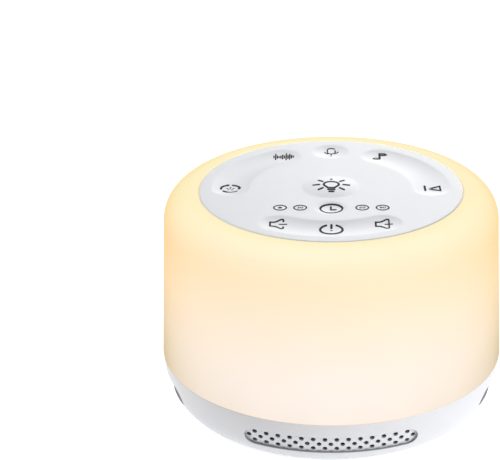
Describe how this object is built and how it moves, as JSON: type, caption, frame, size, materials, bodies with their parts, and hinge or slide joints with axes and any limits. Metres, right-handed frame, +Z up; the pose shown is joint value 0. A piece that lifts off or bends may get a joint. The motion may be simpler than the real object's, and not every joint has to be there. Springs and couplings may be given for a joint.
{
  "type": "bedside sound machine",
  "caption": "Round bedside sound machine with a glowing shade, a touch panel on top, a low base with sunken sound grilles, and a loudspeaker that fires down.",
  "frame": {"origin": "on the ground plane, under the middle of the round body", "axes": "+Z up; -Y is the front, the side whose grille lies under the clock key; +X is to the right as seen from the front"},
  "size_m": [0.1102, 0.1102, 0.0731],
  "materials": {
    "white_shell": "fine satin",
    "diffuser": "translucent milky satin, lit from inside",
    "inner_white": "matt",
    "rubber": "matt",
    "foam": "matt",
    "screw_steel": "zinc plated",
    "circuit_board": "solder mask",
    "white_board": "white solder mask",
    "led": "clear resin over phosphor",
    "black_chip": "moulded",
    "can_aluminium": "drawn can",
    "connector": "moulded",
    "bright_steel": "nickel plated",
    "frame_paint": "black, pressed steel",
    "ferrite": "sintered",
    "cone_paper": "pressed pulp",
    "copper": "enamelled wire",
    "spider_cloth": "impregnated cloth",
    "lead_sheath": "smooth",
    "ribbon": "flat film"
  },
  "bodies": {
    "housing": {"base_shell": "white_shell", "bottom_cover": "white_shell", "rubber_feet": "rubber", "cover_screws": "screw_steel", "chassis_deck": "inner_white", "reflector_tower": "inner_white", "tower_screws": "screw_steel", "diffuser_shade": "diffuser", "top_panel": "white_shell", "panel_screws": "screw_steel", "touch_board": "circuit_board", "touch_pads": "foam", "timer_leds": "led", "microphone": "bright_steel", "microphone_boot": "rubber", "light_board": "white_board", "night_light_leds": "led", "main_board": "circuit_board", "main_board_screws": "screw_steel", "controller_chip": "black_chip", "amplifier_chip": "black_chip", "capacitors": "can_aluminium", "board_connectors": "connector", "speaker_gasket": "rubber", "speaker_frame": "frame_paint", "speaker_front_plate": "bright_steel", "speaker_magnet": "ferrite", "speaker_yoke": "bright_steel", "speaker_screws": "screw_steel", "speaker_terminal": "black_chip", "speaker_surround": "rubber", "speaker_spider": "spider_cloth", "power_socket": "bright_steel", "socket_board": "circuit_board", "socket_screws": "screw_steel", "speaker_leads": "lead_sheath", "power_leads": "lead_sheath", "light_leads": "lead_sheath", "touch_ribbon": "ribbon"},
    "voice_coil": {"speaker_cone": "cone_paper", "dust_cap": "cone_paper", "coil_former": "cone_paper", "coil_winding": "copper"}
  },
  "joints": [
    {"name": "cone_travel", "type": "slide", "parent": "housing", "child": "voice_coil", "axis": [0, 0, 1], "range_m": [-0.001, 0.001], "stiffness_N_per_m": 1000, "deforming": ["speaker_surround", "speaker_spider"]}
  ]
}
